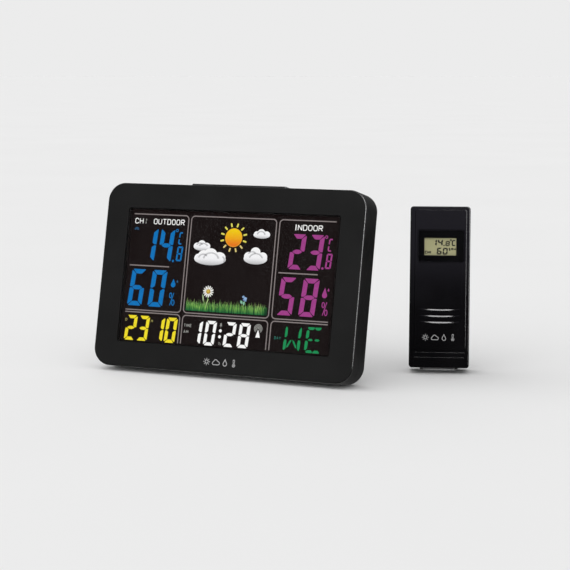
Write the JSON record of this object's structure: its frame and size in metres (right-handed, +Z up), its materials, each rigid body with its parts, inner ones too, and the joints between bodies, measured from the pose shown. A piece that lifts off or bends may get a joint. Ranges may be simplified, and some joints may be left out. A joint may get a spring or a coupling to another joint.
{
  "type": "home weather station",
  "caption": "Slab console with a colour segment display, snooze bar, back buttons and fold-out stand, with its small wireless outdoor sensor beside it.",
  "frame": {"origin": "centre of the flat under the console's rear bottom edge, where it rests on the table", "axes": "+X to the right when looking at the screen, +Y away from the viewer, +Z up"},
  "size_m": [0.247, 0.1351, 0.1294],
  "materials": {
    "case_black": "fine satin texture, moulded ABS",
    "button_black": "soft matte silicone keys",
    "lens_black": "smooth tinted acrylic window",
    "lcd_glass": "dark negative display glass with coloured segments",
    "acrylic": "clear light guide with a white backing",
    "frame_white": "plain moulding",
    "flex_amber": "polyimide film",
    "board_green": "solder-masked glass epoxy",
    "component_black": "moulded component body",
    "coil_copper": "enamelled copper wire",
    "ferrite": "sintered ferrite, matte grey-black",
    "wire_red": "PVC insulation",
    "cell_wrap": "plain shrink sleeve with steel ends",
    "spring_steel": "nickel-plated spring steel",
    "screw_steel": "blackened steel",
    "sensor_case": "smooth satin ABS",
    "sensor_lens_black": "polished window",
    "lcd_olive": "reflective grey-green display glass",
    "rubber_strip": "conductive elastomer",
    "switch_white": "moulded switch knob"
  },
  "bodies": {
    "console": {"front_bezel": "case_black", "rear_cover": "case_black", "display_lens": "lens_black", "lcd_panel": "lcd_glass", "light_guide": "acrylic", "led_strip": "frame_white", "lcd_frame": "frame_white", "lcd_ribbon": "flex_amber", "main_board": "board_green", "button_board": "board_green", "snooze_switch": "component_black", "receiver_board": "board_green", "receiver_antenna": "coil_copper", "ferrite_rod": "ferrite", "rod_coil": "coil_copper", "buzzer": "component_black", "indoor_probe": "component_black", "dc_jack": "component_black", "battery_lead": "wire_red", "battery_1": "cell_wrap", "battery_2": "cell_wrap", "battery_3": "cell_wrap", "battery_spring_1": "spring_steel", "battery_spring_2": "spring_steel", "battery_spring_3": "spring_steel", "battery_contact": "spring_steel", "case_screw_1": "screw_steel", "case_screw_2": "screw_steel", "case_screw_3": "screw_steel", "case_screw_4": "screw_steel"},
    "snooze_bar": {"snooze_bar": "case_black"},
    "mode_button": {"mode_button": "button_black"},
    "up_button": {"up_button": "button_black"},
    "down_button": {"down_button": "button_black"},
    "history_button": {"history_button": "button_black"},
    "channel_button": {"channel_button": "button_black"},
    "alert_button": {"alert_button": "button_black"},
    "battery_cover": {"battery_cover": "case_black"},
    "stand": {"stand": "case_black"},
    "sensor": {"sensor_front_case": "sensor_case", "sensor_rear_case": "sensor_case", "sensor_lens": "sensor_lens_black", "sensor_lcd": "lcd_olive", "sensor_zebra_strip": "rubber_strip", "sensor_board": "board_green", "sensor_probe": "component_black", "sensor_antenna": "coil_copper", "sensor_battery_1": "cell_wrap", "sensor_battery_2": "cell_wrap", "sensor_spring_1": "spring_steel", "sensor_spring_2": "spring_steel", "sensor_contact": "spring_steel", "sensor_terminal": "spring_steel", "sensor_screw_1": "screw_steel", "sensor_screw_2": "screw_steel", "sensor_screw_3": "screw_steel"},
    "sensor_battery_cover": {"sensor_battery_cover": "sensor_case"},
    "sensor_stand": {"sensor_stand": "sensor_case"},
    "channel_switch": {"channel_switch": "switch_white"},
    "tx_button": {"tx_button": "switch_white"}
  },
  "joints": [
    {"name": "snooze_press", "type": "slide", "parent": "console", "child": "snooze_bar", "axis": [0, -0.2164, -0.9763], "range_m": [0, 0.001], "stiffness_N_per_m": 200},
    {"name": "mode_press", "type": "slide", "parent": "console", "child": "mode_button", "axis": [0, -0.9763, 0.2164], "range_m": [0, 0.0008], "stiffness_N_per_m": 100},
    {"name": "up_press", "type": "slide", "parent": "console", "child": "up_button", "axis": [0, -0.9763, 0.2164], "range_m": [0, 0.0008], "stiffness_N_per_m": 100},
    {"name": "down_press", "type": "slide", "parent": "console", "child": "down_button", "axis": [0, -0.9763, 0.2164], "range_m": [0, 0.0008], "stiffness_N_per_m": 100},
    {"name": "history_press", "type": "slide", "parent": "console", "child": "history_button", "axis": [0, -0.9763, 0.2164], "range_m": [0, 0.0008], "stiffness_N_per_m": 100},
    {"name": "channel_press", "type": "slide", "parent": "console", "child": "channel_button", "axis": [0, -0.9763, 0.2164], "range_m": [0, 0.0008], "stiffness_N_per_m": 100},
    {"name": "alert_press", "type": "slide", "parent": "console", "child": "alert_button", "axis": [0, -0.9763, 0.2164], "range_m": [0, 0.0008], "stiffness_N_per_m": 100},
    {"name": "battery_cover_lift", "type": "slide", "parent": "console", "child": "battery_cover", "axis": [0, 0.9763, -0.2164], "range_m": [0, 0.03], "stiffness_N_per_m": 6},
    {"name": "stand_fold", "type": "hinge", "parent": "console", "child": "stand", "pos_m": [0, 0.00153, 0.00738], "axis": [1, 0, 0], "range_deg": [0, 84.4], "stiffness_Nm_per_rad": 0.8},
    {"name": "sensor_pick_up", "type": "slide", "parent": "console", "child": "sensor", "axis": [0, 0, 1], "range_m": [0, 0.12]},
    {"name": "sensor_cover_lift", "type": "slide", "parent": "sensor", "child": "sensor_battery_cover", "axis": [-0.3134, 0.9366, -0.1564], "range_m": [0, 0.03], "stiffness_N_per_m": 6},
    {"name": "sensor_stand_fold", "type": "hinge", "parent": "sensor", "child": "sensor_stand", "pos_m": [0.12507, 0.07704, 0.0041], "axis": [0.9483, 0.3173, 0], "range_deg": [0, 81.4], "stiffness_Nm_per_rad": 0.3},
    {"name": "channel_select", "type": "slide", "parent": "sensor", "child": "channel_switch", "axis": [0.9483, 0.3173, 0], "range_m": [0, 0.0044]},
    {"name": "tx_press", "type": "slide", "parent": "sensor", "child": "tx_button", "axis": [0.3134, -0.9366, 0.1564], "range_m": [0, 0.0004], "stiffness_N_per_m": 10}
  ]
}
